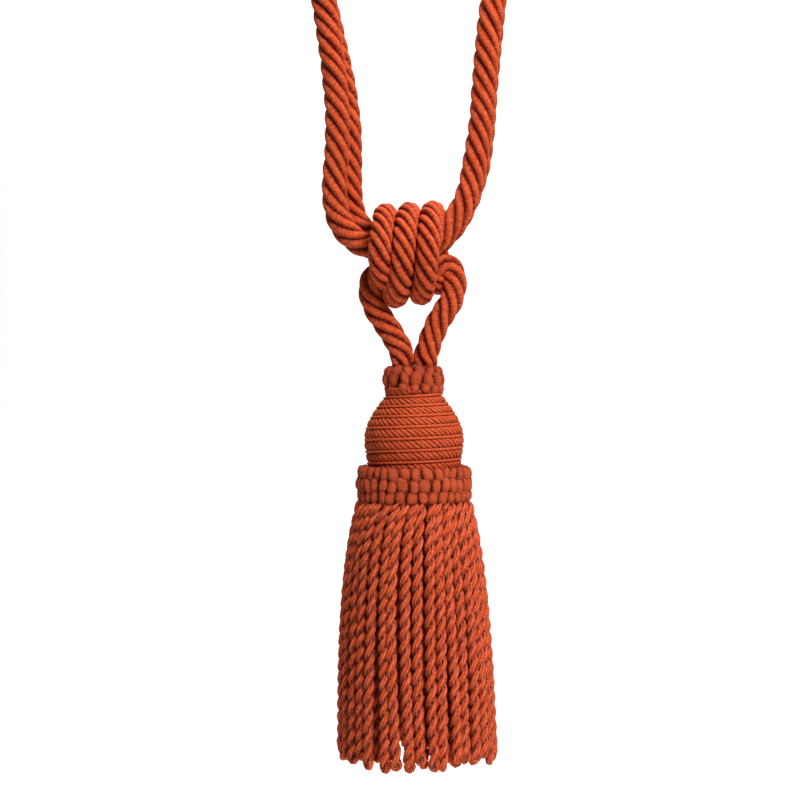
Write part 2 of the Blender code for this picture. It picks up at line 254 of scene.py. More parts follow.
# The bullion skirt: rings of two-ply cords folded at the hem.
OUTER_RING = RingForm(cords=40, root=24.0 * MM, spread=10.7 * MM, swirl=0.16, step=1.15 * MM, sides=9)
MIDDLE_RING = RingForm(cords=36, root=19.4 * MM, spread=10.2 * MM, swirl=0.14, step=1.5 * MM, sides=7)
INNER_RING = RingForm(cords=24, root=13.4 * MM, spread=9.4 * MM, swirl=0.15, step=2.0 * MM, sides=6)
PLY_RADIUS = 1.46 * MM
PLY_OFFSET = 1.09 * MM
BULLION_LAY = 11.9 * MM
LOOP_OPENING = 0.35 * MM
CORD_LEAN = 0.018
CORD_SWAY = 0.45 * MM
SKIRT_TUCK = 1.6 * MM
SKIRT_SPREAD_LENGTH = 42.0 * MM
HEM_SHIFT = 1.5 * MM
PLY_UNEVEN = 0.05
BULLION_LAY_SHARES = (0.9, 1.12)
LOOP_OPENING_LENGTH = 2.2 * MM
LOOP_FACING_SPREAD = 0.45
FOLD_LENGTH = 6.0 * MM
FOLD_DEPTH = 1.1
FOLD_STEPS_AT_LEAST = 6
SWAY_LENGTH = 21.0 * MM
TWIST_BREATH = 0.35
TWIST_BREATH_LENGTH = 19.0 * MM
SWIRL_LENGTH = 8.0 * MM
SWIRL_SLOPE = 0.45
SWIRL_UNEVEN = 0.2
CORD_PLACE_UNEVEN = 0.24
ROOT_UNEVEN = 0.5
SPREAD_UNEVEN = 0.3
BAND_RADIUS = 22.0 * MM
BAND_DEPTH = 2.5 * MM
BAND_TONE = 0.2

# How much shorter a cord is, in millimetres: everywhere, more so in front, and at random.
CORD_SHORTER = 2.2
CORD_SHORTER_IN_FRONT = 1.4
CORD_SHORTER_AT_RANDOM = 4.2

# Yarn: how it shines, how deep its fine threads are, and how its uneven patches lie.
YARN_SPECULAR = 0.09
YARN_SHEEN = 0.16
YARN_SHEEN_ROUGHNESS = 0.35
YARN_SHEEN_TINT = (1.0, 0.28, 0.09)
THREAD_RELIEF = 0.3 * MM
TONE_SHIFT = 57.0
TONE_SHARE = 0.35
STREAK_DETAIL = 1.5
STREAK_WANDER = 5.0
STREAK_SHARE = 0.7
FIBRE_SCALE = 2600.0
FIBRE_DETAIL = 2.0
FIBRE_SHARE = 0.4
PATCH_SCALE = 110.0
PATCH_DETAIL = 3.0

# Ranges that are mapped to others: from, to, mapped from, mapped to.
RIDGE_RANGE = (-1.0, 0.7, 0.0, 1.0)
NOISE_RANGE = (0.3, 0.7, 0.0, 1.0)
PATCH_SHADE_RANGE = (0.3, 1.05, 0.86, 1.12)
# Painted shade in the low parts of the thread relief, and painted light on their tops.
HEIGHT_SHADE_RANGE = (0.1, 1.3, 0.7, 1.2)
# Painted highlight on the tops of the thread relief.
PAINTED_HIGHLIGHT_RANGE = (0.5, 1.35, 0.0, 0.5)

# The looks of the yarns, with colours in linear light. The second colour of each look is painted shade
# between strands, and thread tops are lightened towards a pale painted highlight colour.
PAINTED_HIGHLIGHT_COLOUR = (0.68, 0.185, 0.105)
ROPE_LOOK = YarnLook(
    light=(0.64, 0.078, 0.013), painted_shade_colour=(0.22, 0.008, 0.0006), thread_pitch=0.8 * MM, threads=0,
    thread_share=0.32, streak_length=0.7 * MM, streak_narrowness=0.9, painted_shade_crests=(0.38, 1.0), bump=0.6,
    roughness=0.8,
)
HEAD_LOOK = YarnLook(
    light=(0.59, 0.074, 0.014), painted_shade_colour=(0.24, 0.012, 0.0015), thread_pitch=0.8 * MM, threads=0,
    thread_share=0.3, streak_length=0.7 * MM, streak_narrowness=0.9, painted_shade_crests=(-0.1, 0.95), bump=0.55,
    roughness=0.65,
)
RUFF_LOOK = YarnLook(
    light=(0.60, 0.072, 0.014), painted_shade_colour=(0.22, 0.008, 0.0008), thread_pitch=KNOT_THREAD, threads=1,
    thread_share=0.4, streak_length=0.7 * MM, streak_narrowness=0.9, painted_shade_crests=(0.3, 1.0), bump=0.9,
    roughness=0.75,
)
BULLION_LOOK = YarnLook(
    light=(0.64, 0.067, 0.009), painted_shade_colour=(0.17, 0.005, 0.0005), thread_pitch=3.0 * MM, threads=5,
    thread_share=0.65, streak_length=1.4 * MM, streak_narrowness=0.9, painted_shade_crests=(-0.3, 0.95), bump=1.0,
    roughness=0.75,
)

# Light: a key light in front, above and to the right, one that whitens the backdrop, and a dim world.
WORLD_STRENGTH = 0.05
KEY_PLACE = (0.47, -0.76, 0.40)
KEY_SIZE = 0.42
KEY_POWER = 14.6
WALL_LIGHT_PLACE = (0.0, 0.3, 0.9)
WALL_LIGHT_AIM = (0.0, 1.4, -0.4)
WALL_LIGHT_SIZE = 1.2
WALL_LIGHT_POWER = 26.0

# The backdrop: a floor and a wall joined by a bend.
BACKDROP_FLOOR_Z = -0.66
BACKDROP_TOP_Z = 2.0
BACKDROP_WALL_Y = 1.5
BACKDROP_BEND = 0.7
BACKDROP_BEND_STEPS = 12
BACKDROP_HALF_WIDTH = 1.0
BACKDROP_COLOUR = (0.92, 0.92, 0.92)
BACKDROP_ROUGHNESS = 0.9

SEED = 7


class Shape:
    """Gathers tubes into one mesh. Each has a map of how far along and how far round its points are, a tone
    of its own, and a crest: 1 where it faces outwards, and 0 or less where it sinks between others."""

    def __init__(self):
        self.points = []
        self.faces = []
        self.maps = []
        self.tones = []
        # The crest sets where the yarn materials paint shade between strands.
        self.crests = []
        self.lengths = []
        self.count = 0

    def add_tube(self, rings, along, tone, crest, slant=0.0):
        """Adds one closed tube: rings is sections by corners by three, along is the length at each section,
        and slant is how far the map creeps along in one trip round."""
        sections, sides, _ = rings.shape
        first = self.count
        self.points.append(rings.reshape(-1, 3))
        self.tones.append(np.full(sections * sides, tone))
        self.crests.append(np.broadcast_to(crest, (sections, sides)).ravel())
        self.lengths.append(along)
        self.count += sections * sides
        row = np.arange(sections - 1)[:, None] * sides + first
        column = np.arange(sides)[None, :]
        nearby = (column + 1) % sides
        quads = np.stack([row + column, row + nearby, row + sides + nearby, row + sides + column], axis=-1)
        self.faces.append(quads.reshape(-1, 4))
        start = np.broadcast_to(along[:-1, None], (sections - 1, sides))
        end = np.broadcast_to(along[1:, None], (sections - 1, sides))
        low = np.broadcast_to(column / sides, (sections - 1, sides))
        high = low + 1.0 / sides
        corners = np.stack([
            np.stack([start + slant * low, low], axis=-1),
            np.stack([start + slant * high, high], axis=-1),
            np.stack([end + slant * high, high], axis=-1),
            np.stack([end + slant * low, low], axis=-1),
        ], axis=2)
        self.maps.append(corners.reshape(-1, 2))

    def build(self, name, material):
        """Makes the object. The tubes' end rings are drawn in to a point, so nothing is left open."""
        mesh = bpy.data.meshes.new(name)
        points = np.concatenate(self.points)
        faces = np.concatenate(self.faces)
        mesh.vertices.add(len(points))
        mesh.vertices.foreach_set("co", points.astype(np.float32).ravel())
        mesh.loops.add(faces.size)
        mesh.loops.foreach_set("vertex_index", faces.astype(np.int32).ravel())
        mesh.polygons.add(len(faces))
        mesh.polygons.foreach_set("loop_start", np.arange(0, faces.size, 4, dtype=np.int32))
        mesh.update(calc_edges=True)
        layer = mesh.uv_layers.new(name="yarn")
        layer.data.foreach_set("uv", np.concatenate(self.maps).astype(np.float32).ravel())
        for attribute, values in (("tone", self.tones), ("crest", self.crests)):
            made = mesh.attributes.new(attribute, "FLOAT", "POINT")
            made.data.foreach_set("value", np.concatenate(values).astype(np.float32))
        mesh.validate()
        mesh.shade_smooth()
        mesh.materials.append(material)
        made = bpy.data.objects.new(name, mesh)
        bpy.context.scene.collection.objects.link(made)
        return made


def unit(vectors):
    return vectors / np.linalg.norm(vectors, axis=-1, keepdims=True)


def smooth_path(route, step):
    """Points at even steps along the smooth curve through a route, and the length at each."""
    points = np.array(route, float)
    points = np.vstack([2 * points[0] - points[1], points, 2 * points[-1] - points[-2]])
    t = (np.arange(1, POINTS_PER_ROUTE_STEP + 1) / POINTS_PER_ROUTE_STEP)[:, None]
    dense = [points[1][None, :]]
    for before, start, end, after in zip(points, points[1:], points[2:], points[3:]):
        leave = (end - before) * 0.5
        arrive = (after - start) * 0.5
        dense.append(
            start * (2 * t ** 3 - 3 * t ** 2 + 1)
            + leave * (t ** 3 - 2 * t ** 2 + t)
            + end * (3 * t ** 2 - 2 * t ** 3)
            + arrive * (t ** 3 - t ** 2)
        )
    return even_path(np.vstack(dense), step)


def path_lengths(points):
    """The length along a line at each of its points."""
    return np.concatenate([[0.0], np.cumsum(np.linalg.norm(np.diff(points, axis=0), axis=1))])


def even_path(dense, step):
    """The same line with points at even steps, and the length at each."""
    lengths = path_lengths(dense)
    count = max(2, round(lengths[-1] / step))
    along = np.linspace(0.0, lengths[-1], count + 1)
    path = np.stack([np.interp(along, lengths, dense[:, axis]) for axis in range(3)], axis=1)
    return path, along


def frames_along(path):
    """The direction and two cross directions at each point, with no spin of their own."""
    directions = unit(np.gradient(path, axis=0))
    side = np.cross(directions[0], (0.0, 0.0, 1.0))
    if np.linalg.norm(side) < 0.1:
        side = np.cross(directions[0], (0.0, 1.0, 0.0))
    sides = []
    for direction in directions:
        side = side - direction * np.dot(side, direction)
        side = side / np.linalg.norm(side)
        sides.append(side)
    sides = np.array(sides)
    return directions, sides, np.cross(directions, sides)


def closed_ends(sections):
    """A scale for each section of a tube, so that it rounds off to a point at both ends."""
    shrink = np.ones(sections)
    for place in range(END_ROUNDING + 1):
        share = sin(0.5 * pi * place / END_ROUNDING)
        shrink[place] = share
        shrink[-1 - place] = share
    shrink[0] = shrink[-1] = 1e-4
    return shrink


def sweep(shape, path, along, outward, width, depth, sides, tone):
    """Adds a tube of oval section: depth is its half size along outward, width the one across it."""
    directions = unit(np.gradient(path, axis=0))
    outward = unit(outward - directions * np.sum(outward * directions, axis=1, keepdims=True))
    across = np.cross(directions, outward)
    shrink = closed_ends(len(path))
    angle = 2 * pi * np.arange(sides) / sides
    reach_out = (depth * shrink)[:, None, None] * np.cos(angle)[None, :, None] * outward[:, None, :]
    reach_across = (width * shrink)[:, None, None] * np.sin(angle)[None, :, None] * across[:, None, :]
    crest = np.cos(angle)[None, :] * shrink[:, None]
    shape.add_tube(path[:, None, :] + reach_out + reach_across, along, tone, crest)


def lay_strands(shape, path, along, radius, lay, rng, strands=STRANDS, sides=STRAND_SIDES, hand=-1):
    """Lays strands round a path, with a radius at each point: hand is -1 for an S lay and 1 for a Z lay."""
    directions, side, across = frames_along(path)
    depth = radius * STRAND_DEPTH_SHARE
    middle = radius - depth
    slope = np.arctan(2 * pi * middle / lay)
    width = STRAND_CROWDING * pi * middle * np.cos(slope) / strands
    strand_along = along * (1.0 + (2 * pi * np.mean(middle) / lay) ** 2) ** 0.5
    for strand in range(strands):
        wander = STRAND_WANDER * np.sin(along / STRAND_WANDER_LENGTH + rng.uniform(0, 2 * pi))
        turn = 2 * pi * (strand / strands + hand * along / lay) + wander
        outward = side * np.cos(turn)[:, None] + across * np.sin(turn)[:, None]
        swell = 1.0 + STRAND_SWELL * np.sin(along / STRAND_SWELL_LENGTH + rng.uniform(0, 2 * pi))
        centre = path + outward * middle[:, None]
        sweep(shape, centre, strand_along, outward, width * swell, depth * swell, sides, rng.uniform())


def lay_core(shape, path, along, radius, rng):
    """The core that the strands are laid round."""
    _, side, _ = frames_along(path[::3])
    reach = np.full(len(path[::3]), radius * CORE_SHARE)
    sweep(shape, path[::3], along[::3], side, reach, reach, CORE_SIDES, rng.uniform())


def rope(name, route, radius, lay, material, node, rng):
    """One rope that goes back into the object at both ends."""
    path, along = smooth_path(np.array(route) * MM, ROPE_STEP)
    places = np.linspace(0.0, 1.0, len(path))
    radii = np.interp(places, np.linspace(0.0, 1.0, np.size(radius)), np.ravel(radius))
    shape = Shape()
    lay_core(shape, path, along, min(radii), rng)
    lay_strands(shape, path, along, radii, lay, rng)
    made = shape.build(name, material)
    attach(made, "root")
    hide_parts(node)


def tucked(turned, tuck, sign):
    """How far a turn of the winding is tucked in at one end: a share from 0 to 1."""
    start = WRAP_START if sign > 0 else WRAP_END
    return max(0.0, 1.0 - sign * (turned - start) / tuck[0]) ** TUCK_POWER


def winding_route():
    """The turns of rope round the arms, from low inside the knot on the right to low in front on the left."""
    route = []
    radii = []
    steps = round((WRAP_END - WRAP_START) / WRAP_POINT_STEP)
    for number in range(steps + 1):
        turned = WRAP_START + number * WRAP_POINT_STEP
        angle = radians(turned)
        first = tucked(turned, START_TUCK, 1)
        last = tucked(turned, END_TUCK, -1)
        bulge = exp(-((turned - BULGE[0]) / BULGE[1]) ** 2)
        along = -WRAP_PITCH * (turned - WRAP_MIDDLE) / 360.0
        radius = WRAP_RADIUS - START_TUCK[1] * first - END_TUCK[1] * last
        route.append((
            WRAP_CENTRE_X + along + START_TUCK[2] * first + END_TUCK[2] * last + BULGE[2] * bulge,
            -radius * sin(angle),
            WRAP_CENTRE_Z + radius * cos(angle) + along * tan(radians(WRAP_TILT)),
        ))
        radii.append(WRAP_ROPE_RADIUS * (1.0 - START_TUCK[3] * first - END_TUCK[3] * last + BULGE[3] * bulge))
    return route, radii


def turned_rings(reach, levels, sides):
    """The rings of a turned shape, in the order that makes its faces look outwards."""
    angle = 2 * pi * np.arange(sides) / sides
    return np.stack([
        reach[:, None] * np.cos(angle)[None, :],
        reach[:, None] * np.sin(angle)[None, :],
        np.broadcast_to(levels[:, None], (len(levels), sides)),
    ], axis=-1)[::-1]


def head_radius(z):
    """The wound head's radius at a height, from its top down to the collar."""
    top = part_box("head")[1].z
    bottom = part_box("head")[0].z
    depth = (top - z) / (top - bottom)
    swell = np.sin(np.clip(depth / HEAD_SWELL_SHARE, 0.0, 1.0) * pi / 2)
    draw = np.clip(depth - HEAD_DRAW_SHARE, 0.0, 1.0) / (1.0 - HEAD_DRAW_SHARE)
    return HEAD_TOP_RADIUS + HEAD_SWELL * swell - HEAD_DRAW * draw


def head_winding(rise, offset):
    """A helix down the head, a rise above its surface: its points are evenly spaced along its profile."""
    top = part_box("head")[1].z
    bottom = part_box("head")[0].z
    z = np.linspace(top + HEAD_HIDDEN_TOP, bottom - HEAD_HIDDEN_BOTTOM, HEAD_PROFILE_POINTS)
    radius = head_radius(z)
    arc = path_lengths(np.stack([radius, z], axis=1))
    arc -= np.interp(-top, -z, arc)
    first, last = HEAD_TURNS
    turned = np.linspace(first, last, round((last - first) * HEAD_POINTS_PER_TURN))
    place = turned * HEAD_WIND_PITCH + offset
    level = -np.interp(place, arc, np.gradient(z, arc))
    upward = np.interp(place, arc, np.gradient(radius, arc))
    angle = 0.5 * pi - 2 * pi * turned
    outward = unit(np.stack([level * np.cos(angle), level * np.sin(angle), upward], axis=1))
    radius_here = np.interp(place, arc, radius)
    surface = np.stack([
        radius_here * np.cos(angle), radius_here * np.sin(angle), np.interp(place, arc, z),
    ], axis=1)
    return surface + rise * outward, outward


def head_cord(shape, rng):
    """The thick cord of the head: laid round, then pressed flat against the mould."""
    depth = HEAD_CORD_RADIUS * HEAD_CORD_FLATNESS
    dense, outward = head_winding(HEAD_CORD_RISE - depth, HEAD_CORD_START)
    path, along = even_path(dense, HEAD_CORD_STEP)
    lengths = path_lengths(dense)
    outward = unit(np.stack([np.interp(along, lengths, outward[:, axis]) for axis in range(3)], axis=1))
    outward = outward[:, None, :]
    cord = Shape()
    lay_strands(
        cord, path, along, np.full(len(path), HEAD_CORD_RADIUS), HEAD_CORD_LAY, rng,
        strands=HEAD_CORD_PLIES, sides=HEAD_WIND_SIDES, hand=1,
    )
    for ply, points in enumerate(cord.points):
        offset = points.reshape(len(path), -1, 3) - path[:, None, :]
        away = np.sum(offset * outward, axis=-1, keepdims=True)
        pressed = path[:, None, :] + offset - (1.0 - HEAD_CORD_FLATNESS) * away * outward
        crest = cord.crests[ply].reshape(len(path), -1)
        shape.add_tube(pressed, cord.lengths[ply], cord.tones[ply][0], crest)


def head(cord_material, rng):
    """The head: a mould wound with a thick laid cord and a thin smooth thread side by side."""
    shape = Shape()
    head_cord(shape, rng)
    dense, outward = head_winding(HEAD_THREAD_RISE - HEAD_THREAD_RADIUS, HEAD_THREAD_START)
    reach = np.full(len(dense), HEAD_THREAD_RADIUS)
    lengths = path_lengths(dense)
    sweep(shape, dense, lengths, outward, reach, reach, HEAD_WIND_SIDES, HEAD_THREAD_TONE)
    made = shape.build("wound_head", cord_material)
    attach(made, "root")
    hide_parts("head")


def mould(material):
    """The mould between the head's windings, painted all in the yarn's painted shade colour."""
    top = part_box("head")[1].z
    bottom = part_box("head")[0].z
    z = np.linspace(top + HEAD_HIDDEN_TOP, bottom - HEAD_HIDDEN_BOTTOM, MOULD_LEVELS)
    radius = head_radius(z) - MOULD_DEPTH
    shape = Shape()
    radius[0] = radius[-1] = 1e-5
    z[1] = z[0]
    z[-2] = z[-1]
    # A crest of -1 paints the mould all in the painted shade colour.
    shape.add_tube(turned_rings(radius, z, MOULD_SIDES), np.linspace(0.0, 0.03, len(z)), 0.0, -1.0)
    made = shape.build("head_mould", material)
    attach(made, "root")
    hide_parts("head")


def knot(shape, angles, heights, base, rise, lean, squareness, rng):
    """Adds one knot of gimp: a rounded block between two angles and two heights, that bulges from a drum."""
    sections = KNOT_SECTIONS
    sides = KNOT_SIDES
    level = -np.cos(pi * np.arange(sections) / (sections - 1))
    swell = np.maximum((1.0 - np.abs(level) ** squareness) ** (1.0 / squareness), 1e-3)
    around = 2 * pi * np.arange(sides) / sides
    power = 2.0 / squareness
    across = -np.sign(np.sin(around)) * np.abs(np.sin(around)) ** power
    out = np.sign(np.cos(around)) * np.abs(np.cos(around)) ** power
    middle_angle = 0.5 * (angles[0] + angles[1])
    half_angle = 0.5 * (angles[1] - angles[0])
    middle_z = 0.5 * (heights[0] + heights[1])
    half_z = 0.5 * (heights[1] - heights[0])
    slump = rng.uniform(-KNOT_SLUMP, KNOT_SLUMP)
    puff = rng.uniform(-KNOT_PUFF, KNOT_PUFF)
    angle = (
        middle_angle
        + half_angle * swell[:, None] * across[None, :]
        + half_angle * (lean * level + slump * (1 - level ** 2))[:, None]
    )
    pinch = 1.0 - KNOT_PINCH + KNOT_PINCH * swell
    reach = base + rise * pinch[:, None] * swell[:, None] * out[None, :] * (1.0 + puff * across[None, :])
    sag = rng.uniform(-KNOT_SAG, KNOT_SAG) * half_z
    z = middle_z + half_z * level[:, None] + sag * across[None, :] * swell[:, None]
    rings = np.stack([reach * np.cos(angle), reach * np.sin(angle), z], axis=-1)
    slant = KNOT_THREAD * float(rng.integers(*KNOT_SLANTS))
    shape.add_tube(rings, middle_z + level * half_z, rng.uniform(), swell[:, None] * out[None, :], slant)


def ruff(name, node, form, material, rng):
    """A ruff: columns of knots round a drum, with painted shade in the gaps: the drum takes the yarn's
    painted shade colour.
    """
    columns = form.columns
    rows = form.rows
    uneven = form.uneven
    low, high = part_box(node)
    high.z -= form.top_drop
    radius = (high.x - low.x) / 2
    height = high.z - low.z
    shape = Shape()
    widths = rng.uniform(1.0 - uneven, 1.0 + uneven, columns)
    edges = np.concatenate([[0.0], np.cumsum(widths)]) * 2 * pi / widths.sum()
    shares = rng.uniform(1.0 - uneven, 1.0 + uneven, (columns, rows))
    cuts = np.cumsum(shares, axis=1) / shares.sum(axis=1, keepdims=True)
    ends = rng.uniform(-0.5, 0.5, (columns, 2)) * uneven * RUFF_END_WANDER
    for row in range(rows):
        shift = rng.uniform(-0.5, 0.5, columns + 1) * uneven * 2 * pi / columns
        shift += RUFF_LEAN * (0.5 * (rows - 1) - row) * 2 * pi / columns
        shift[-1] = shift[0]
        edge = edges + shift
        for column in range(columns):
            margin = 0.5 * form.gap * (edge[column + 1] - edge[column])
            even_upper = row / rows
            even_lower = (row + 1) / rows
            own_upper = cuts[column, row - 1] if row else 0.0
            own_lower = cuts[column, row]
            upper = high.z - height * (even_upper + form.stagger * (own_upper - even_upper))
            lower = high.z - height * (even_lower + form.stagger * (own_lower - even_lower))
            if row == 0:
                upper += ends[column, 0]
            if row == rows - 1:
                lower += ends[column, 1]
            tuck = RUFF_EDGE_TUCK if row in (0, rows - 1) else 0.0
            angles = (edge[column] + margin, edge[column + 1] - margin)
            below = form.overlap if row < rows - 1 else 0.0
            above = form.overlap if row else 0.0
            rise = form.rise * rng.uniform(*KNOT_RISES)
            lean = rng.uniform(*KNOT_LEANS)
            knot(
                shape, angles, (lower - below, upper + above), radius - form.rise - tuck, rise, lean,
                form.squareness, rng,
            )
    drum = radius - RUFF_DRUM_DEPTH * form.rise
    drum_top = high.z - RUFF_DRUM_TOP_DROP
    drum_bottom = low.z - RUFF_DRUM_BOTTOM_REACH
    levels = np.array([drum_top, drum_top, drum_bottom, drum_bottom])
    reach = np.array([1e-5, drum, drum, 1e-5])
    # The drum's crest of -1 paints it all in the painted shade colour.
    shape.add_tube(turned_rings(reach, levels, DRUM_SIDES), levels - low.z, 0.0, -1.0)
    made = shape.build(name, material)
    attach(made, "root")
    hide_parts(node)


def bullion(shape, angle, root, spread, length, swirl, form, rng):
    """One two-ply cord that hangs from the band and is folded at the hem, its loop facing outwards."""
    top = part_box("skirt")[1].z + SKIRT_TUCK
    drop = np.append(np.arange(0.0, length, form.step), length)
    fall = drop / length
    lean = rng.normal(0.0, CORD_LEAN)
    radius = root + spread * (1.0 - np.exp(-drop / SKIRT_SPREAD_LENGTH))
    sway = CORD_SWAY * np.sin(drop / SWAY_LENGTH + rng.uniform(0, 2 * pi))
    turned = angle - swirl * (1.0 - np.exp(-drop / SWIRL_LENGTH)) + lean * fall ** 2
    centre = np.stack([
        radius * np.cos(turned) + HEM_SHIFT * fall ** 2, radius * np.sin(turned), top - drop,
    ], axis=1)
    outward = np.stack([np.cos(turned), np.sin(turned), np.zeros_like(turned)], axis=1)
    around = np.stack([-np.sin(turned), np.cos(turned), np.zeros_like(turned)], axis=1)
    centre += around * sway[:, None]
    lay = BULLION_LAY * rng.uniform(*BULLION_LAY_SHARES)
    breath = TWIST_BREATH * np.sin(drop / TWIST_BREATH_LENGTH + rng.uniform(0, 2 * pi))
    facing = 0.5 * pi + rng.normal(0.0, LOOP_FACING_SPREAD)
    twist = facing - 2 * pi * (length - drop) / lay + breath * (1.0 - fall)
    arm = outward * np.cos(twist)[:, None] - around * np.sin(twist)[:, None]
    opening = PLY_OFFSET + LOOP_OPENING * np.exp(-(length - drop) / LOOP_OPENING_LENGTH)
    fold_steps = max(FOLD_STEPS_AT_LEAST, round(FOLD_LENGTH / form.step))
    fold = np.linspace(0.0, pi, fold_steps + 2)[1:-1]
    down = np.array([0.0, 0.0, -1.0])
    fold_out = np.cos(fold)[:, None] * arm[-1] + FOLD_DEPTH * np.sin(fold)[:, None] * down
    axis = np.vstack([centre, np.repeat(centre[-1:], len(fold), axis=0), centre[::-1]])
    away = np.vstack([arm * opening[:, None], fold_out * opening[-1], -(arm * opening[:, None])[::-1]])
    path, along = even_path(axis + away, form.step)
    lengths = path_lengths(axis + away)
    outward = np.stack([np.interp(along, lengths, away[:, place]) for place in range(3)], axis=1)
    reach = np.full(len(path), PLY_RADIUS) * (1.0 + PLY_UNEVEN * rng.uniform(-1.0, 1.0))
    sweep(shape, path, along, outward, reach, reach, form.sides, rng.uniform())


def skirt_ring(name, form, material, rng):
    """One ring of bullion cords."""
    low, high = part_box("skirt")
    full = high.z - low.z
    shape = Shape()
    for cord in range(form.cords):
        angle = 2 * pi * (cord + rng.uniform(-CORD_PLACE_UNEVEN, CORD_PLACE_UNEVEN)) / form.cords
        facing = -sin(angle)
        shorter = CORD_SHORTER + CORD_SHORTER_IN_FRONT * facing + rng.uniform(0.0, CORD_SHORTER_AT_RANDOM)
        length = full + SKIRT_TUCK - shorter * MM
        in_or_out = rng.uniform(-1.0, 1.0) * MM
        root = form.root + ROOT_UNEVEN * in_or_out
        spread = form.spread - SPREAD_UNEVEN * in_or_out
        swirl = form.swirl * (1.0 + SWIRL_SLOPE * (-cos(angle)) + rng.uniform(-SWIRL_UNEVEN, SWIRL_UNEVEN))
        bullion(shape, angle, root, spread, length, swirl, form, rng)
    made = shape.build(name, material)
    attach(made, "root")
    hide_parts("skirt")


def skirt_band(material):
    """The band that the skirt is sewn to, under the collar."""
    low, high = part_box("skirt")
    shape = Shape()
    reach = np.array([1e-5, BAND_RADIUS, BAND_RADIUS, 1e-5])
    levels = np.array([high.z, high.z, high.z - BAND_DEPTH, high.z - BAND_DEPTH])
    # A crest of 0 paints the band mostly in the painted shade colour, as shade under the collar.
    shape.add_tube(turned_rings(reach, levels, DRUM_SIDES), levels - low.z, BAND_TONE, 0.0)
    made = shape.build("skirt_band", material)
    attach(made, "root")
    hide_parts("skirt")


def math_node(tree, operation, *values):
    """A math node: each value is a number or another node's output."""
    node = tree.nodes.new("ShaderNodeMath")
    node.operation = operation
    for place, value in enumerate(values):
        if isinstance(value, bpy.types.NodeSocket):
            tree.links.new(value, node.inputs[place])
        else:
            node.inputs[place].default_value = value
    return node.outputs[0]


def range_node(tree, value, low, high, to_low, to_high):
    """Maps a value from one range to another, and holds it there."""
    node = tree.nodes.new("ShaderNodeMapRange")
    tree.links.new(value, node.inputs["Value"])
    node.inputs["From Min"].default_value = low
    node.inputs["From Max"].default_value = high
    node.inputs["To Min"].default_value = to_low
    node.inputs["To Max"].default_value = to_high
    return node.outputs["Result"]


def noise_node(tree, vector, scale, detail):
    node = tree.nodes.new("ShaderNodeTexNoise")
    node.inputs["Scale"].default_value = scale
    node.inputs["Detail"].default_value = detail
    tree.links.new(vector, node.inputs["Vector"])
    return node.outputs["Fac"]


def attribute_node(tree, name):
    node = tree.nodes.new("ShaderNodeAttribute")
    node.attribute_name = name
    return node.outputs["Fac"]


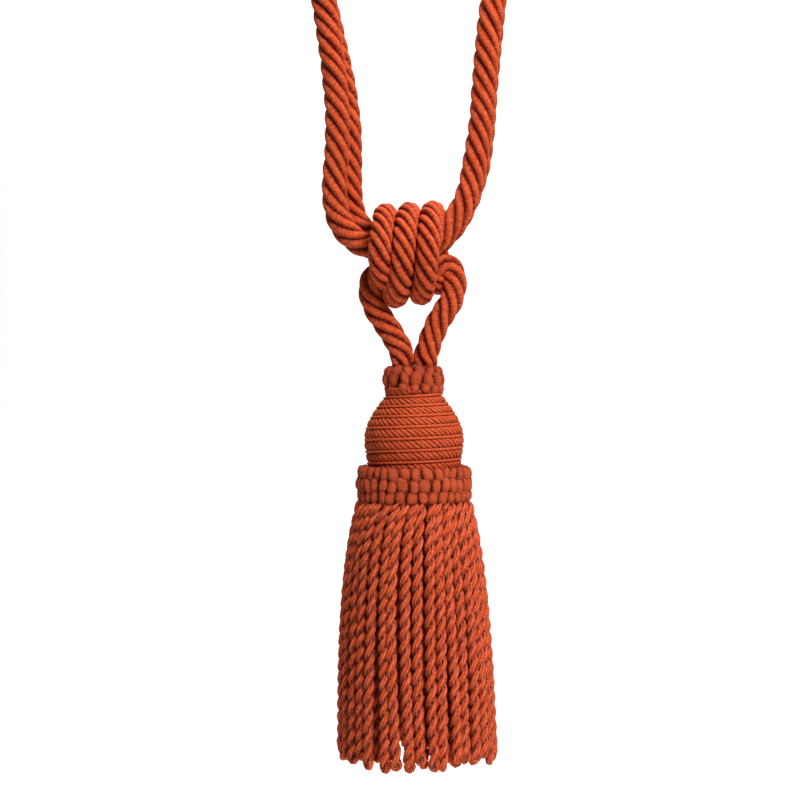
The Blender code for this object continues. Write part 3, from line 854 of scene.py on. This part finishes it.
def yarn_material(name, look):
    """Satin yarn: fine threads wound round each strand, painted shade between strands and threads, painted
    highlights.
    """
    material = bpy.data.materials.new(name)
    material.use_nodes = True
    tree = material.node_tree
    shader = tree.nodes["Principled BSDF"]
    shader.inputs["Roughness"].default_value = look.roughness
    shader.inputs["Specular IOR Level"].default_value = YARN_SPECULAR
    shader.inputs["Sheen Weight"].default_value = YARN_SHEEN
    shader.inputs["Sheen Roughness"].default_value = YARN_SHEEN_ROUGHNESS
    shader.inputs["Sheen Tint"].default_value = (*YARN_SHEEN_TINT, 1.0)

    place = tree.nodes.new("ShaderNodeUVMap")
    place.uv_map = "yarn"
    parts = tree.nodes.new("ShaderNodeSeparateXYZ")
    tree.links.new(place.outputs["UV"], parts.inputs["Vector"])
    along = parts.outputs["X"]
    round_share = parts.outputs["Y"]
    tone = attribute_node(tree, "tone")
    crest = attribute_node(tree, "crest")
    position = tree.nodes.new("ShaderNodeTexCoord").outputs["Object"]

    threads_along = math_node(tree, "MULTIPLY", along, 1.0 / look.thread_pitch)
    helix = math_node(tree, "MULTIPLY_ADD", round_share, float(look.threads), threads_along)
    spin_rate = 1.0 / (look.thread_pitch * look.threads) if look.threads else 0.0
    spin = math_node(tree, "MULTIPLY", along, spin_rate)
    angle = math_node(tree, "MULTIPLY", math_node(tree, "ADD", round_share, spin), 2 * pi)
    streaks_along = math_node(tree, "MULTIPLY", along, 1.0 / look.streak_length)
    lengthwise = math_node(tree, "MULTIPLY_ADD", tone, TONE_SHIFT, streaks_along)
    narrowness = look.streak_narrowness
    spot = tree.nodes.new("ShaderNodeCombineXYZ")
    tree.links.new(lengthwise, spot.inputs["X"])
    for operation, socket in (("COSINE", "Y"), ("SINE", "Z")):
        part = math_node(tree, "MULTIPLY", math_node(tree, operation, angle), narrowness)
        tree.links.new(part, spot.inputs[socket])
    streak = noise_node(tree, spot.outputs["Vector"], 1.0, STREAK_DETAIL)
    fibre = noise_node(tree, position, FIBRE_SCALE, FIBRE_DETAIL)
    patch = noise_node(tree, position, PATCH_SCALE, PATCH_DETAIL)

    thread_angle = math_node(tree, "MULTIPLY", helix, 2 * pi)
    phase = math_node(tree, "MULTIPLY_ADD", streak, STREAK_WANDER, thread_angle)
    ridge = range_node(tree, math_node(tree, "SINE", phase), *RIDGE_RANGE)
    streak_rise = range_node(tree, streak, *NOISE_RANGE)
    fibre_rise = range_node(tree, fibre, *NOISE_RANGE)
    streak_height = math_node(tree, "MULTIPLY", streak_rise, STREAK_SHARE)
    height = math_node(
        tree, "ADD",
        math_node(tree, "MULTIPLY_ADD", ridge, look.thread_share, streak_height),
        math_node(tree, "MULTIPLY", fibre_rise, FIBRE_SHARE),
    )

    mixed = math_node(tree, "MULTIPLY_ADD", tone, TONE_SHARE, patch)
    # Random patch tone, times painted shade and light that darkens the low parts and lightens the tops of the
    # fine thread relief.
    shade = math_node(
        tree, "MULTIPLY",
        range_node(tree, mixed, *PATCH_SHADE_RANGE),
        range_node(tree, height, *HEIGHT_SHADE_RANGE),
    )
    # Painted shade: the colour darkens towards the second colour where the crest is low, between strands.
    painted_shade_mix = tree.nodes.new("ShaderNodeMix")
    painted_shade_mix.data_type = "RGBA"
    painted_shade_mix.inputs[6].default_value = (*look.painted_shade_colour, 1.0)
    painted_shade_mix.inputs[7].default_value = (*look.light, 1.0)
    tree.links.new(range_node(tree, crest, *look.painted_shade_crests, 0.0, 1.0), painted_shade_mix.inputs[0])
    # Painted highlight: the tops of the thread relief are lightened towards a pale colour.
    painted_highlight_mix = tree.nodes.new("ShaderNodeMix")
    painted_highlight_mix.data_type = "RGBA"
    tree.links.new(painted_shade_mix.outputs[2], painted_highlight_mix.inputs[6])
    painted_highlight_mix.inputs[7].default_value = (*PAINTED_HIGHLIGHT_COLOUR, 1.0)
    tree.links.new(range_node(tree, height, *PAINTED_HIGHLIGHT_RANGE), painted_highlight_mix.inputs[0])
    toned = tree.nodes.new("ShaderNodeVectorMath")
    toned.operation = "SCALE"
    tree.links.new(painted_highlight_mix.outputs[2], toned.inputs[0])
    tree.links.new(shade, toned.inputs["Scale"])
    tree.links.new(toned.outputs["Vector"], shader.inputs["Base Color"])

    relief = tree.nodes.new("ShaderNodeBump")
    relief.inputs["Strength"].default_value = look.bump
    relief.inputs["Distance"].default_value = THREAD_RELIEF
    tree.links.new(height, relief.inputs["Height"])
    tree.links.new(relief.outputs["Normal"], shader.inputs["Normal"])
    return material


def camera():
    view = bpy.data.cameras.new("view")
    view.sensor_width = SENSOR
    view.lens = SENSOR * VIEW_DISTANCE / VIEW_HEIGHT
    view.clip_start = VIEW_CLIP
    made = bpy.data.objects.new("view", view)
    made.location = (VIEW_CENTRE_X, -VIEW_DISTANCE, VIEW_CENTRE_Z)
    made.rotation_euler = (radians(90.0), 0.0, 0.0)
    bpy.context.scene.collection.objects.link(made)
    bpy.context.scene.camera = made


def area_light(name, place, aim, size, power):
    light = bpy.data.lights.new(name, "AREA")
    light.shape = "SQUARE"
    light.size = size
    light.energy = power
    made = bpy.data.objects.new(name, light)
    direction = np.array(aim, float) - np.array(place, float)
    made.location = place
    made.rotation_euler = Vector(direction).to_track_quat("-Z", "Y").to_euler()
    bpy.context.scene.collection.objects.link(made)


def backdrop():
    """A pale floor that curves up into a wall behind the tieback."""
    bend = BACKDROP_BEND
    profile = [(-BACKDROP_HALF_WIDTH, BACKDROP_FLOOR_Z)]
    for step in range(BACKDROP_BEND_STEPS + 1):
        angle = 0.5 * pi * step / BACKDROP_BEND_STEPS
        profile.append((
            BACKDROP_WALL_Y - bend + bend * sin(angle), BACKDROP_FLOOR_Z + bend - bend * cos(angle),
        ))
    profile.append((BACKDROP_WALL_Y, BACKDROP_TOP_Z))
    verts = [(x, y, z) for y, z in profile for x in (-BACKDROP_HALF_WIDTH, BACKDROP_HALF_WIDTH)]
    faces = [(2 * i, 2 * i + 1, 2 * i + 3, 2 * i + 2) for i in range(len(profile) - 1)]
    mesh = bpy.data.meshes.new("backdrop")
    mesh.from_pydata(verts, [], faces)
    mesh.shade_smooth()
    material = bpy.data.materials.new("pale_paper")
    material.use_nodes = True
    shader = material.node_tree.nodes["Principled BSDF"]
    shader.inputs["Base Color"].default_value = (*BACKDROP_COLOUR, 1.0)
    shader.inputs["Roughness"].default_value = BACKDROP_ROUGHNESS
    mesh.materials.append(material)
    made = bpy.data.objects.new("backdrop", mesh)
    bpy.context.scene.collection.objects.link(made)


def studio():
    """Soft light from the front right and above, a lit wall behind, and a dim world seen as white."""
    world = bpy.data.worlds.new("studio")
    world.use_nodes = True
    tree = world.node_tree
    background = tree.nodes["Background"]
    background.inputs["Color"].default_value = (1.0, 1.0, 1.0, 1.0)
    seen = tree.nodes.new("ShaderNodeLightPath").outputs["Is Camera Ray"]
    strength = math_node(tree, "MULTIPLY_ADD", seen, 1.0 - WORLD_STRENGTH, WORLD_STRENGTH)
    tree.links.new(strength, background.inputs["Strength"])
    bpy.context.scene.world = world
    middle = (VIEW_CENTRE_X, 0.0, VIEW_CENTRE_Z)
    area_light("key", KEY_PLACE, middle, KEY_SIZE, KEY_POWER)
    area_light("wall", WALL_LIGHT_PLACE, WALL_LIGHT_AIM, WALL_LIGHT_SIZE, WALL_LIGHT_POWER)
    bpy.context.scene.view_settings.view_transform = "Standard"
    bpy.context.scene.view_settings.look = "None"


def main():
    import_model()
    camera()
    rng = np.random.default_rng(SEED)
    rope_yarn = yarn_material("rope_yarn_look", ROPE_LOOK)
    head_yarn = yarn_material("head_yarn_look", HEAD_LOOK)
    ruff_yarn = yarn_material("ruff_yarn_look", RUFF_LOOK)
    bullion_yarn = yarn_material("bullion_yarn_look", BULLION_LOOK)
    rope("left_arm", LEFT_ARM_ROUTE, ARM_ROPE_RADIUS, ARM_LAY, rope_yarn, "embrace_left", rng)
    rope("right_arm", RIGHT_ARM_ROUTE, ARM_ROPE_RADIUS, ARM_LAY, rope_yarn, "embrace_right", rng)
    route, radii = winding_route()
    rope("winding", route, radii, WRAP_LAY, rope_yarn, "knot_wraps", rng)
    rope("loop", LOOP_ROUTE, LOOP_ROPE_RADIUS, ARM_LAY, rope_yarn, "tassel_loop", rng)
    head(head_yarn, rng)
    mould(ruff_yarn)
    ruff("neck_knots", "neck_ruff", NECK_RUFF, ruff_yarn, rng)
    ruff("collar_knots", "collar_ruff", COLLAR_RUFF, ruff_yarn, rng)
    skirt_band(bullion_yarn)
    skirt_ring("outer_bullion", OUTER_RING, bullion_yarn, rng)
    skirt_ring("middle_bullion", MIDDLE_RING, bullion_yarn, rng)
    skirt_ring("inner_bullion", INNER_RING, bullion_yarn, rng)
    backdrop()
    studio()


main()
